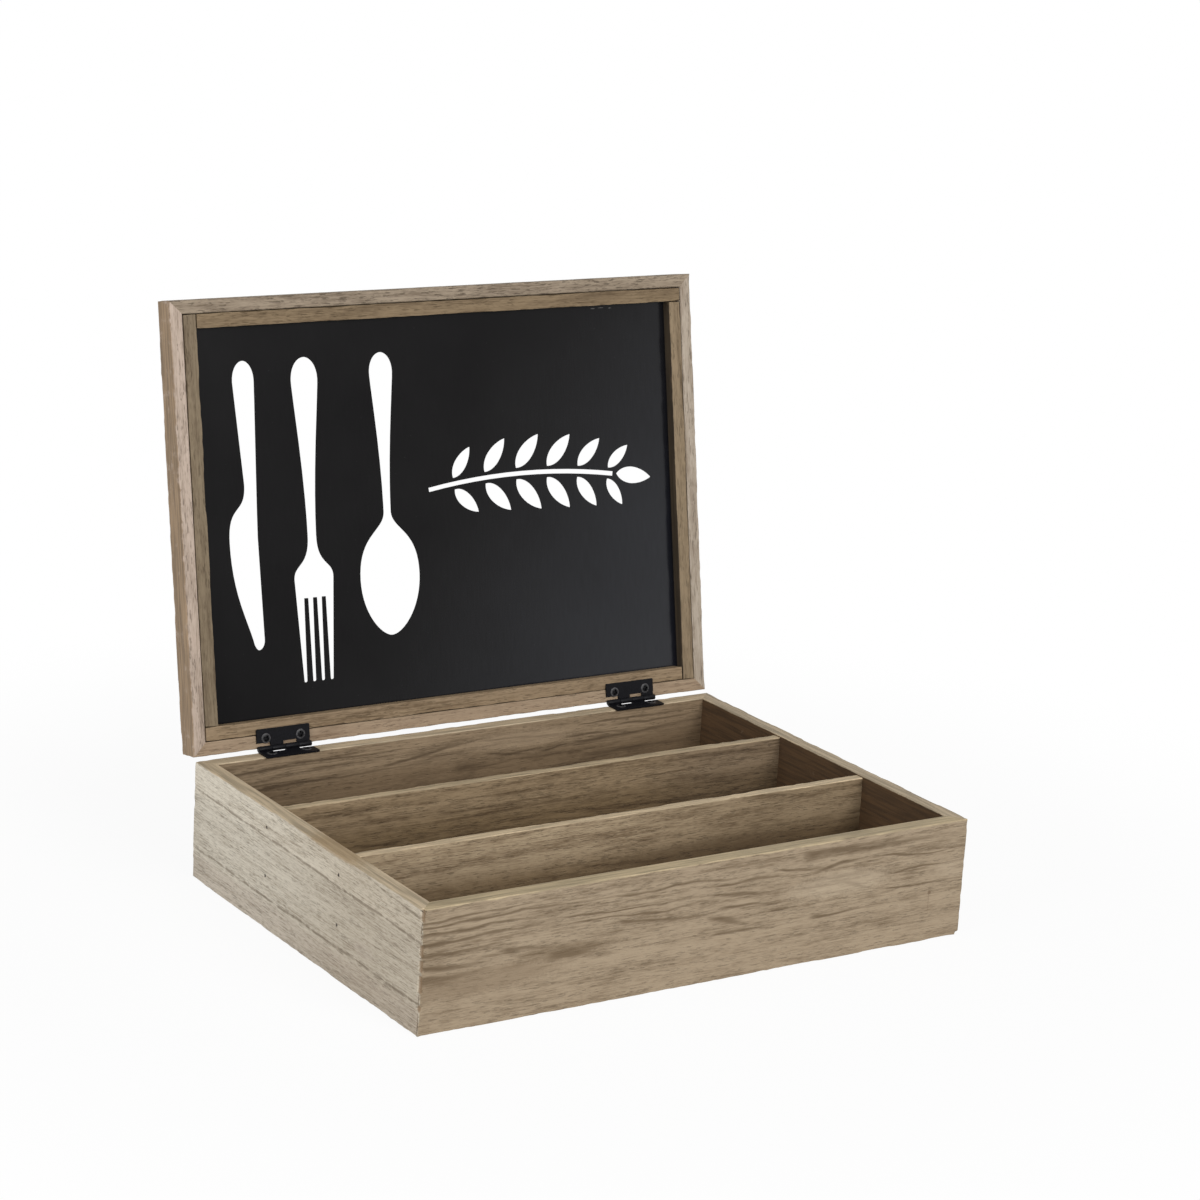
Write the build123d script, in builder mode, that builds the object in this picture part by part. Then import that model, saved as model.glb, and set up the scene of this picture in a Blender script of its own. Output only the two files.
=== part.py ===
from build123d import *
import math
import os

# A cutlery box in veneered board with three bays, and a hinged lid that frames a pierced black sheet.
# The origin is at the middle of the box's underside: X to the right, Y to the back, Z up.
# The lid stands open and leans back, as the box is shown.

# Box
box_width = 340
box_depth = 249
box_height = 66.5
wall_thick = 9
floor_thick = 4
floor_seat = 4.5
wood_arris = 0.5

# Dividers
bay_count = 3
divider_thick = 6
divider_drop = 1

# Brads through the side walls into the dividers' ends
brad_low = 29
brad_high = 56
brad_long = 20
brad_tip_long = 1.5
brad_shank_radius = 0.6
brad_head_radius = 0.9
brad_head_thick = 0.6
brad_sunk = 0.3
brad_play = 0.05

# Lid frame: rails round the outside, strips inside them, the sheet held between strips and lip
lid_lean = 10.4
lid_thick = 15
rail_face = 7.5
strip_face = 7.8
strip_deep = 6
strip_gap = 0.3
sheet_thick = 1.2
sheet_play = 0.5

# Hinges
hinge_long = 33
hinge_reach = 11
hinge_from_end = 54.7
leaf_thick = 1
leaf_corner = 0.6
knuckle_count = 4
knuckle_radius = 1.6
knuckle_gap = 0.25
slot_reach = 3.2
pin_radius = 0.8
pin_play = 0.05
wood_gap = 0.3

# Hinge screws
screw_pitch = 21.5
screw_reach = 5.7
screw_head_radius = 2.8
screw_dome = 0.5
screw_shank_radius = 1.25
screw_shank_long = 10
screw_tip_long = 2
screw_play = 0.05
recess_long = 3
recess_wide = 0.7
recess_deep = 0.9

# Pierced figures: the room that they leave at the sheet's open edges, and their widths
figure_top_room = 19.3
knife_end_room = 38.2
fork_end_room = 17.2
spoon_end_room = 38.3
knife_from_edge = 29.4
knife_to_fork = 37.8
fork_to_spoon = 48.6
knife_handle_wide = 13.8
knife_neck_wide = 7.2
knife_blade_wide = 17.9
fork_handle_wide = 17.2
fork_neck_wide = 5.9
fork_head_wide = 25.1
fork_end_wide = 18.9
tine_count = 4
tine_end_wide = 2.3
tine_root_wide = 3.6
tine_share = 0.26
spoon_handle_wide = 15.4
spoon_neck_wide = 5.2
spoon_bowl_wide = 38.9

# Pierced sprig: a stem with pairs of leaves, the largest in the middle
sprig_from_spoon = 8
sprig_end_room = 13
sprig_drop = 80
stem_wide = 2.6
stem_bow = 5
sprig_leaf_long = 25
sprig_leaf_wide = 10
sprig_leaf_pitch = 19.5
sprig_leaf_turn = 48
sprig_bridge = 2
pair_place = 0.8
end_leaf_size = 0.75

# Places that follow from the sizes above
pin_height = knuckle_radius + wood_gap
pin_y = box_depth / 2
pin_z = box_height + pin_height
lean = math.radians(lid_lean)
lid_normal = (0, -math.cos(lean), math.sin(lean))
lid_plane = Plane(origin=(0, pin_y, pin_z), x_dir=(1, 0, 0), z_dir=lid_normal)
lid_face = lid_plane.offset(-pin_height)
lid_middle = box_depth / 2
frame_face = rail_face + strip_gap + strip_face
hinge_x = box_width / 2 - hinge_from_end
knuckle_long = hinge_long / knuckle_count
knuckle_solid = knuckle_long - knuckle_gap


# Corners of a rectangle, anticlockwise from the left low one
def corners(left, right, low, high):
    return [(left, low), (right, low), (right, high), (left, high)]


# One side of a mitred frame: the first side runs along the low edge
def mitred_side(outer, inner, side):
    following = (side + 1) % len(outer)
    Polygon(outer[side], outer[following], inner[following], inner[side], align=None)


# A finished piece gets its label and its own file
def save(piece, label):
    piece.part.label = label
    export_step(piece.part, f"parts/{label}.step")


os.makedirs("parts", exist_ok=True)

# The plane of each hinge's leaves lies on the pin, with Y towards the leaf's edge and Z away from the wood
box_hinge_planes = []
lid_hinge_planes = []
for x in (-hinge_x, hinge_x):
    at_pin = (x, pin_y, pin_z)
    box_hinge_planes.append(Plane(origin=at_pin, x_dir=(-1, 0, 0), z_dir=(0, 0, 1)))
    lid_hinge_planes.append(Plane(origin=at_pin, x_dir=(1, 0, 0), z_dir=lid_normal))
screw_spots = [(-screw_pitch / 2, screw_reach), (screw_pitch / 2, screw_reach)]


# Pilot holes under the hinge leaves
def drill_pilots(hinge_planes):
    for plane in hinge_planes:
        with Locations(plane.offset(-pin_height)):
            with Locations(*screw_spots):
                Hole(screw_shank_radius + screw_play, screw_shank_long + screw_play)


# Dividers are evenly spaced, so that all bays have the same depth
inner_x = box_width / 2 - wall_thick
inner_y = box_depth / 2 - wall_thick
bay_depth = (2 * inner_y - (bay_count - 1) * divider_thick) / bay_count
divider_places = [
    -inner_y + index * bay_depth + (index - 0.5) * divider_thick
    for index in range(1, bay_count)
]

# The plane of each brad lies on the side wall's outer face, square to the wall
brad_planes = {"left": [], "right": []}
for divider_y in divider_places:
    for height in (brad_low, brad_high):
        for hand, outward in (("left", -1), ("right", 1)):
            at_face = (outward * box_width / 2, divider_y, height)
            brad_planes[hand].append(Plane(origin=at_face, x_dir=(0, 1, 0), z_dir=(outward, 0, 0)))


# Sunk holes for brads
def drill_brads(planes):
    for plane in planes:
        with Locations(plane):
            CounterBoreHole(
                brad_shank_radius + brad_play,
                brad_head_radius + brad_play,
                brad_sunk + brad_head_thick + brad_play,
                brad_sunk + brad_long + brad_play,
            )


# Box walls, mitred at the corners, with a rebate below for the floor
floor_width = box_width - 2 * (wall_thick - floor_seat)
floor_depth = box_depth - 2 * (wall_thick - floor_seat)
box_outside = corners(-box_width / 2, box_width / 2, -box_depth / 2, box_depth / 2)
box_inside = corners(-inner_x, inner_x, -inner_y, inner_y)
upright = (Align.CENTER, Align.CENTER, Align.MIN)

for side, label in enumerate(["front_wall", "right_wall", "back_wall", "left_wall"]):
    with BuildPart() as wall:
        with BuildSketch():
            mitred_side(box_outside, box_inside, side)
        extrude(amount=box_height)
        Box(floor_width, floor_depth, floor_thick, align=upright, mode=Mode.SUBTRACT)
        along = Axis.X if side % 2 == 0 else Axis.Y
        fillet(wall.edges().filter_by(along).group_by(Axis.Z)[-1], wood_arris)
        if label == "back_wall":
            drill_pilots(box_hinge_planes)
        if label in ("left_wall", "right_wall"):
            drill_brads(brad_planes[label.split("_")[0]])
    save(wall, label)

# Floor panel in the rebate, flush with the walls' underside
with BuildPart() as floor_panel:
    Box(floor_width, floor_depth, floor_thick, align=upright)
save(floor_panel, "floor_panel")

# Dividers stand on the floor between the side walls
divider_high = box_height - divider_drop - floor_thick
for index, divider_y in enumerate(divider_places, 1):
    with BuildPart() as divider:
        with Locations((0, divider_y, floor_thick)):
            Box(2 * inner_x, divider_thick, divider_high, align=upright)
        fillet(divider.edges().filter_by(Axis.X).group_by(Axis.Z)[-1], wood_arris)
        drill_brads(brad_planes["left"] + brad_planes["right"])
    save(divider, f"divider_{index}")

# Brad with a flat head; Z = 0 is the head's outer face
with BuildPart() as brad:
    with BuildSketch(Plane.XZ):
        Polygon(
            (0, 0),
            (brad_head_radius, 0),
            (brad_head_radius, -brad_head_thick),
            (brad_shank_radius, -brad_head_thick),
            (brad_shank_radius, brad_tip_long - brad_long),
            (0, -brad_long),
            align=None,
        )
    revolve(axis=Axis.Z)

for hand, planes in brad_planes.items():
    with BuildPart() as brads:
        for plane in planes:
            with Locations(plane.offset(-brad_sunk)):
                add(brad.part)
    save(brads, f"{hand}_brads")

# Lid rails, mitred, with a lip on the lid's outer side that carries the sheet
rail_x = box_width / 2 - rail_face
rail_low = rail_face
rail_high = box_depth - rail_face
open_x = box_width / 2 - frame_face
open_low = frame_face
open_high = box_depth - frame_face
lid_outside = corners(-box_width / 2, box_width / 2, 0, box_depth)
lid_opening = corners(-open_x, open_x, open_low, open_high)

for side, label in enumerate(["lid_rear_rail", "lid_right_rail", "lid_front_rail", "lid_left_rail"]):
    with BuildPart() as rail:
        with BuildSketch(lid_face):
            mitred_side(lid_outside, lid_opening, side)
        extrude(amount=-lid_thick)
        with BuildSketch(lid_face):
            Polygon(*corners(-rail_x, rail_x, rail_low, rail_high), align=None)
        extrude(amount=-strip_deep - sheet_thick, mode=Mode.SUBTRACT)
        along = Axis.X if side % 2 == 0 else Axis((0, 0, 0), lid_plane.y_dir)
        outermost = Axis(lid_plane.origin, lid_plane.z_dir)
        long_edges = rail.edges().filter_by(along)
        fillet(long_edges.group_by(outermost)[0] + long_edges.group_by(outermost)[-1], wood_arris)
        if label == "lid_rear_rail":
            drill_pilots(lid_hinge_planes)
    save(rail, label)

# Strips inside the rails hold the sheet down; each runs past the end of the next, like a pinwheel
strip_x = rail_x - strip_gap
strip_low = rail_low + strip_gap
strip_high = rail_high - strip_gap
past_strip = strip_face + strip_gap
strip_spans = {
    "lid_rear_strip": corners(-strip_x, strip_x - past_strip, strip_low, strip_low + strip_face),
    "lid_right_strip": corners(strip_x - strip_face, strip_x, strip_low, strip_high - past_strip),
    "lid_front_strip": corners(-strip_x + past_strip, strip_x, strip_high - strip_face, strip_high),
    "lid_left_strip": corners(-strip_x, -strip_x + strip_face, strip_low + past_strip, strip_high),
}
for label, span in strip_spans.items():
    with BuildPart() as strip:
        with BuildSketch(lid_face):
            Polygon(*span, align=None)
        extrude(amount=-strip_deep)
    save(strip, label)

# Figures are drawn from the tip of the handle downwards, then pierced through the sheet
figure_top = open_high - figure_top_room
knife_long = figure_top - open_low - knife_end_room
fork_long = figure_top - open_low - fork_end_room
spoon_long = figure_top - open_low - spoon_end_room
knife_x = -open_x + knife_from_edge
fork_x = knife_x + knife_to_fork
spoon_x = fork_x + fork_to_spoon


# Points of an outline, each with its place across and its share of the way down
def down(length, *points):
    return [(across, -share * length) for across, share in points]


# Rounded tip and tapering side of a handle; pull sets how late it narrows to the neck
def handle_side(length, widest, neck, neck_share, pull):
    Bezier(*down(length, (0, 0), (widest * 0.56, 0), (widest, 0.03), (widest, 0.07)))
    Bezier(*down(length, (widest, 0.07), (widest, 0.11), (neck, neck_share - pull), (neck, neck_share)))


# Knife: the spine on the right, the notch and the edge on the left
knife_handle = knife_handle_wide / 2
spine = knife_handle * 0.64
notch = spine - knife_neck_wide
blade = spine - knife_blade_wide
knife_tip = knife_handle * 0.26
with BuildSketch() as knife:
    with BuildLine():
        handle_side(knife_long, knife_handle, spine, 0.61, 0.06)
        Line(*down(knife_long, (spine, 0.61), (knife_handle * 0.79, 0.965)))
        tip_right = [
            (knife_handle * 0.79, 0.965),
            (knife_handle * 0.8, 0.985),
            (knife_tip * 2, 1),
            (knife_tip, 1),
        ]
        Bezier(*down(knife_long, *tip_right))
        tip_left = [(knife_tip, 1), (0, 1), (knife_tip * -0.8, 0.985), (knife_tip * -1.1, 0.965)]
        Bezier(*down(knife_long, *tip_left))
        edge = [(knife_tip * -1.1, 0.965), (blade * 0.43, 0.88), (blade, 0.79), (blade, 0.615)]
        Bezier(*down(knife_long, *edge))
        Bezier(*down(knife_long, (blade, 0.615), (blade, 0.48), (notch, 0.53), (notch, 0.425)))
        Line(*down(knife_long, (notch, 0.425), (-knife_handle, 0.07)))
        handle_tip = [(-knife_handle, 0.07), (-knife_handle, 0.03), (knife_handle * -0.56, 0), (0, 0)]
        Bezier(*down(knife_long, *handle_tip))
    make_face()

# Fork: one half and its mirror image, with bars of the sheet left between the tines
fork_handle = fork_handle_wide / 2
fork_neck = fork_neck_wide / 2
fork_head = fork_head_wide / 2
fork_end = fork_end_wide / 2
tine_pitch = (fork_end_wide - tine_end_wide) / (tine_count - 1)
root_bar = (tine_pitch - tine_root_wide) / 2
end_bar = (tine_pitch - tine_end_wide) / 2
with BuildSketch() as fork:
    with BuildLine():
        handle_side(fork_long, fork_handle, fork_neck, 0.55, 0.2)
        shoulder = [(fork_neck, 0.55), (fork_neck, 0.645), (fork_head, 0.63), (fork_head, 0.68)]
        Bezier(*down(fork_long, *shoulder))
        Polyline(*down(fork_long, (fork_head, 0.68), (fork_end, 1), (0, 1)))
        mirror(about=Plane.YZ)
    make_face()
    for index in range(tine_count - 1):
        middle = (index - (tine_count - 2) / 2) * tine_pitch
        bar_foot = [(middle - end_bar, 1), (middle + end_bar, 1)]
        bar_top = [(middle + root_bar, 1 - tine_share), (middle - root_bar, 1 - tine_share)]
        Polygon(*down(fork_long, *bar_foot, *bar_top), align=None, mode=Mode.SUBTRACT)
    fillet(fork.vertices().group_by(Axis.Y)[0], tine_end_wide * 0.4)

# Spoon: one half and its mirror image
spoon_handle = spoon_handle_wide / 2
spoon_neck = spoon_neck_wide / 2
spoon_bowl = spoon_bowl_wide / 2
with BuildSketch() as spoon:
    with BuildLine():
        handle_side(spoon_long, spoon_handle, spoon_neck, 0.56, 0.22)
        bowl_top = [(spoon_neck, 0.56), (spoon_neck, 0.63), (spoon_bowl, 0.63), (spoon_bowl, 0.79)]
        Bezier(*down(spoon_long, *bowl_top))
        bowl_end = [(spoon_bowl, 0.79), (spoon_bowl, 0.915), (spoon_bowl * 0.38, 1), (0, 1)]
        Bezier(*down(spoon_long, *bowl_end))
        mirror(about=Plane.YZ)
    make_face()

# Leaf of the sprig, with its foot at the origin, pointing along X
with BuildSketch() as sprig_leaf:
    with BuildLine():
        Bezier(
            (0, 0),
            (sprig_leaf_long * 0.2, sprig_leaf_wide * 0.7),
            (sprig_leaf_long * 0.7, sprig_leaf_wide * 0.6),
            (sprig_leaf_long, 0),
        )
        mirror(about=Plane.XZ)
    make_face()

# Sprig: a bowed stem with pairs of leaves and one at its tip, held apart by bridges of the sheet
sprig_start = spoon_x + spoon_bowl + sprig_from_spoon
sprig_end = open_x - sprig_end_room
stem_long = sprig_end - sprig_start - sprig_leaf_long - sprig_bridge
pair_count = int(stem_long / sprig_leaf_pitch)
foot_gap = stem_wide / 2 + sprig_bridge
with BuildSketch() as sprig:
    with BuildLine() as stem:
        ThreePointArc((0, 0), (stem_long / 2, stem_bow), (stem_long, 0))
    trace(stem.line, line_width=stem_wide)
    for index in range(pair_count):
        share = (index + pair_place) / pair_count
        size = end_leaf_size + (1 - end_leaf_size) * math.sin(math.pi * share)
        foot = stem.line @ share
        heading = stem.line % share
        angle = math.degrees(math.atan2(heading.Y, heading.X))
        for upper in (1, -1):
            with Locations((foot.X - heading.Y * foot_gap * upper, foot.Y + heading.X * foot_gap * upper)):
                leaf = scale(sprig_leaf.sketch, by=size, mode=Mode.PRIVATE)
                add(leaf, rotation=angle + sprig_leaf_turn * upper)
    heading = stem.line % 1
    angle = math.degrees(math.atan2(heading.Y, heading.X))
    with Locations((stem_long + sprig_bridge, 0)):
        add(sprig_leaf.sketch, rotation=angle)

# Sheet between the strips and the lip
with BuildPart() as sheet:
    with BuildSketch(lid_face.offset(-strip_deep)):
        with Locations((0, lid_middle)):
            Rectangle(2 * (rail_x - sheet_play), rail_high - rail_low - 2 * sheet_play)
        for x, y, figure in [
            (knife_x, figure_top, knife),
            (fork_x, figure_top, fork),
            (spoon_x, figure_top, spoon),
            (sprig_start, figure_top - sprig_drop, sprig),
        ]:
            with Locations((x, y)):
                add(figure.sketch, mode=Mode.SUBTRACT)
    extrude(amount=-sheet_thick)
save(sheet, "pierced_sheet")


# Half of a butt hinge: a plate on the wood, cut back where the other half's knuckles turn
def hinge_leaf(plane, first_knuckle, label):
    own = range(first_knuckle, knuckle_count, 2)
    own_starts = [-hinge_long / 2 + index * knuckle_long + knuckle_gap / 2 for index in own]
    with BuildPart() as leaf:
        with BuildSketch(plane.offset(-pin_height)) as plate:
            with Locations((0, (slot_reach + hinge_reach) / 2)):
                Rectangle(hinge_long, hinge_reach - slot_reach)
            fillet(plate.vertices().group_by(Axis.Y)[-1], leaf_corner)
            for start in own_starts:
                with Locations((start + knuckle_solid / 2, slot_reach / 2)):
                    Rectangle(knuckle_solid, slot_reach)
        extrude(amount=leaf_thick)
        for start in own_starts:
            knuckle_end = plane.origin + plane.x_dir * start
            with BuildSketch(Plane(origin=knuckle_end, x_dir=plane.y_dir, z_dir=plane.x_dir)):
                Circle(knuckle_radius)
            extrude(amount=knuckle_solid)
        bore_end = plane.origin - plane.x_dir * hinge_long / 2
        with BuildSketch(Plane(origin=bore_end, x_dir=plane.y_dir, z_dir=plane.x_dir)):
            Circle(pin_radius + pin_play)
        extrude(amount=hinge_long, mode=Mode.SUBTRACT)
        with Locations(plane.offset(leaf_thick - pin_height)):
            with Locations(*screw_spots):
                Cone(
                    screw_shank_radius + screw_play,
                    screw_head_radius + screw_play,
                    leaf_thick,
                    align=(Align.CENTER, Align.CENTER, Align.MAX),
                    mode=Mode.SUBTRACT,
                )
    save(leaf, label)


# The box's leaves start with the knuckle at the hinge's left end, but are drawn from its right end
for hand, box_side, lid_side in zip(["left", "right"], box_hinge_planes, lid_hinge_planes):
    hinge_leaf(box_side, (knuckle_count - 1) % 2, f"{hand}_hinge_box_leaf")
    hinge_leaf(lid_side, 1, f"{hand}_hinge_lid_leaf")
    pin_end = box_side.origin - box_side.x_dir * hinge_long / 2
    with BuildPart() as pin:
        with BuildSketch(Plane(origin=pin_end, x_dir=box_side.y_dir, z_dir=box_side.x_dir)):
            Circle(pin_radius)
        extrude(amount=hinge_long)
    save(pin, f"{hand}_hinge_pin")

# Screw with a domed countersunk head; Z = 0 is the leaf's outer face
with BuildPart() as screw:
    with BuildSketch(Plane.XZ):
        with BuildLine():
            shank_end = -leaf_thick - screw_shank_long
            TangentArc((0, screw_dome), (screw_head_radius, 0), tangent=(1, 0))
            Polyline(
                (screw_head_radius, 0),
                (screw_shank_radius, -leaf_thick),
                (screw_shank_radius, shank_end + screw_tip_long),
                (0, shank_end),
                (0, screw_dome),
            )
        make_face()
    revolve(axis=Axis.Z)
    with Locations((0, 0, screw_dome)):
        for turn in (0, 90):
            Box(
                recess_long,
                recess_wide,
                2 * recess_deep,
                rotation=(0, 0, turn),
                mode=Mode.SUBTRACT,
            )

for label, hinge_planes in [("box_hinge_screws", box_hinge_planes), ("lid_hinge_screws", lid_hinge_planes)]:
    with BuildPart() as screws:
        for plane in hinge_planes:
            with Locations(plane.offset(leaf_thick - pin_height)):
                with Locations(*screw_spots):
                    add(screw.part)
    save(screws, label)
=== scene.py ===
import bmesh
import bpy
import math
from mathutils import Matrix, Vector, noise


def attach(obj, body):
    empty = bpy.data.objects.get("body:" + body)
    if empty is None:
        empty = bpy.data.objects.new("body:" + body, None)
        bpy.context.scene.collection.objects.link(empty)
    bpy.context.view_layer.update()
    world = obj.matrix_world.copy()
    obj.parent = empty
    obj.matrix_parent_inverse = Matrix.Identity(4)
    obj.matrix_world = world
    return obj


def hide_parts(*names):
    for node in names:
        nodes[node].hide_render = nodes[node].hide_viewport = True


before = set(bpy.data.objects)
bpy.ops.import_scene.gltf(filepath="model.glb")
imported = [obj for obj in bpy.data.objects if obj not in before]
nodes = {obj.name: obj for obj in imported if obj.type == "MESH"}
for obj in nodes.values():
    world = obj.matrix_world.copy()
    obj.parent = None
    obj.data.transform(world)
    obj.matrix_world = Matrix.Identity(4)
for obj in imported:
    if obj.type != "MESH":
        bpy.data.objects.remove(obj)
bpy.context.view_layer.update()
scene = bpy.context.scene
scene.view_settings.view_transform = "Standard"
mm = 0.001
perMetre = (1000, 1000, 1000)  # from metres to mm
boxLow = (-170, -124.5, 0)  # the box's corners without the lid, in mm
boxHigh = (170, 124.5, 66.5)
belowAll = -900.0  # lower than any board


def linked(value):
    return isinstance(value, bpy.types.NodeSocket)


def tint(red, green, blue):  # a colour as a paint program shows it
    def linear(level):
        level /= 255
        return level / 12.92 if level <= 0.04045 else ((level + 0.055) / 1.055) ** 2.4
    return (linear(red), linear(green), linear(blue), 1)


def shaded(colour, share):
    return tint(*[level * share for level in colour])


# Camera
cameraView = {
    "place": (-0.94929, -1.42785, 0.64085),
    "azimuth": -33.7749,
    "elevation": 15.2313,
    "roll": 3.4537,
    "lens": 99.62,
    "sensor": 36,
    "nearest": 0.05,
    "farthest": 50,
}


def placeCamera():
    azimuth, elevation, roll = (math.radians(cameraView[key]) for key in ("azimuth", "elevation", "roll"))
    back = Vector((
        math.sin(azimuth) * math.cos(elevation),
        -math.cos(azimuth) * math.cos(elevation),
        math.sin(elevation),
    ))
    sideways = Vector((0, 0, 1)).cross(back).normalized()
    level = Matrix((sideways, back.cross(sideways), back)).transposed()
    turn = level @ Matrix.Rotation(roll, 3, "Z")
    data = bpy.data.cameras.new("camera")
    data.lens = cameraView["lens"]
    data.sensor_width = cameraView["sensor"]
    data.clip_start = cameraView["nearest"]
    data.clip_end = cameraView["farthest"]
    camera = bpy.data.objects.new("camera", data)
    camera.matrix_world = Matrix.Translation(cameraView["place"]) @ turn.to_4x4()
    scene.collection.objects.link(camera)
    scene.camera = camera


placeCamera()
print("camera placed")


# Node helpers
nodeStep = 190


def addNode(tree, kind, **settings):
    node = tree.nodes.new(kind)
    node.location = (len(tree.nodes) * nodeStep, 0)
    for key, value in settings.items():
        setattr(node, key, value)
    return node


def feed(tree, node, values):
    for key, value in values.items():
        if linked(value):
            tree.links.new(value, node.inputs[key])
        else:
            node.inputs[key].default_value = value


def calc(tree, operation, first, second=0.0, third=0.0):
    node = addNode(tree, "ShaderNodeMath", operation=operation)
    feed(tree, node, {0: first, 1: second, 2: third})
    return node.outputs[0]


def plus(tree, first, second):
    return calc(tree, "ADD", first, second)


def minus(tree, first, second):
    return calc(tree, "SUBTRACT", first, second)


def times(tree, first, second, added=None):
    if added is None:
        return calc(tree, "MULTIPLY", first, second)
    return calc(tree, "MULTIPLY_ADD", first, second, added)


def vectorCalc(tree, operation, first, second=(0, 0, 0)):
    node = addNode(tree, "ShaderNodeVectorMath", operation=operation)
    feed(tree, node, {0: first, 1: second})
    return node.outputs["Value" if operation == "LENGTH" else "Vector"]


def parts(tree, vector):
    node = addNode(tree, "ShaderNodeSeparateXYZ")
    feed(tree, node, {0: vector})
    return node.outputs


def usable(sockets, name):  # a node with modes keeps hidden sockets of the same name
    return [socket for socket in sockets if socket.enabled and socket.name == name][0]


def joinParts(tree, x, y, z):
    node = addNode(tree, "ShaderNodeCombineXYZ")
    feed(tree, node, {0: x, 1: y, 2: z})
    return node.outputs[0]


def soften(tree, value, low, high, least=0.0, most=1.0):
    node = addNode(tree, "ShaderNodeMapRange", interpolation_type="SMOOTHSTEP")
    feed(tree, node, {"Value": value, "From Min": low, "From Max": high, "To Min": least, "To Max": most})
    return node.outputs["Result"]


def noiseAt(tree, vector, stretch, detail=2.0, roughness=0.5, give="Fac"):
    node = addNode(tree, "ShaderNodeTexNoise")
    scaled = vectorCalc(tree, "DIVIDE", vector, stretch)
    feed(tree, node, {"Vector": scaled, "Scale": 1.0, "Detail": detail, "Roughness": roughness})
    return node.outputs[give]


def dashesAt(tree, vector, length, size, share):  # short thin dashes along X, kept in a share of their cells
    node = addNode(tree, "ShaderNodeTexVoronoi")
    cell = joinParts(tree, times(tree, length, size), size, size)
    scaled = vectorCalc(tree, "DIVIDE", vector, cell)
    bent = vectorCalc(tree, "ADD", scaled, noiseAt(tree, vector, (3, 1, 1), 1.0, give="Color"))
    feed(tree, node, {"Vector": bent, "Scale": 1.0, "Randomness": 1.0})
    kept = soften(tree, minus(tree, parts(tree, node.outputs["Color"])[0], share), 0.06, -0.06)
    return times(tree, kept, soften(tree, node.outputs["Distance"], 0.42, 0.16))


def blendColours(tree, amount, first, second, mode="MIX"):
    node = addNode(tree, "ShaderNodeMix", data_type="RGBA", blend_type=mode)
    feed(tree, node, {0: amount, 6: first, 7: second})
    return node.outputs[2]


def ramp(tree, value, stops):
    node = addNode(tree, "ShaderNodeValToRGB")
    node.color_ramp.interpolation = "B_SPLINE"
    elements = node.color_ramp.elements
    while len(elements) < len(stops):
        elements.new(0.5)
    for element, (place, level) in zip(elements, stops):
        element.position = place
        element.color = (level, level, level, 1)
    feed(tree, node, {0: value})
    return node.outputs["Color"]


def startGroup(name, inputs, outputs):
    tree = bpy.data.node_groups.new(name, "ShaderNodeTree")
    for label, value in inputs.items():  # a number, a colour, or None for a vector
        kind = "Vector" if value is None else "Color" if isinstance(value, tuple) else "Float"
        socket = tree.interface.new_socket(label, in_out="INPUT", socket_type="NodeSocket" + kind)
        if value is not None:
            socket.default_value = value
    for label, kind in outputs.items():
        tree.interface.new_socket(label, in_out="OUTPUT", socket_type="NodeSocket" + kind)
    entry = addNode(tree, "NodeGroupInput")
    leave = addNode(tree, "NodeGroupOutput")
    return tree, entry.outputs, leave


# Sizes of the oak's noises in mm: along the grain, across it and into the board
oakNoises = {
    "slowSway": (120, 30, 30),
    "quickSway": (26, 9, 9),
    "streaks": (26, 1.3, 1.3),
    "fade": (95, 16, 16),
    "fibres": (24, 0.8, 0.8),
    "brushing": (4, 0.5, 0.5),
    "patches": (60, 8, 8),
    "smallPatches": (11, 3, 3),
    "poreRows": (70, 3.5, 3.5),
}
ringStops = [(0.0, 0.25), (0.14, 1.0), (0.36, 0.6), (0.6, 0.0), (1.0, 0.25)]  # how dark across one ring


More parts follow.
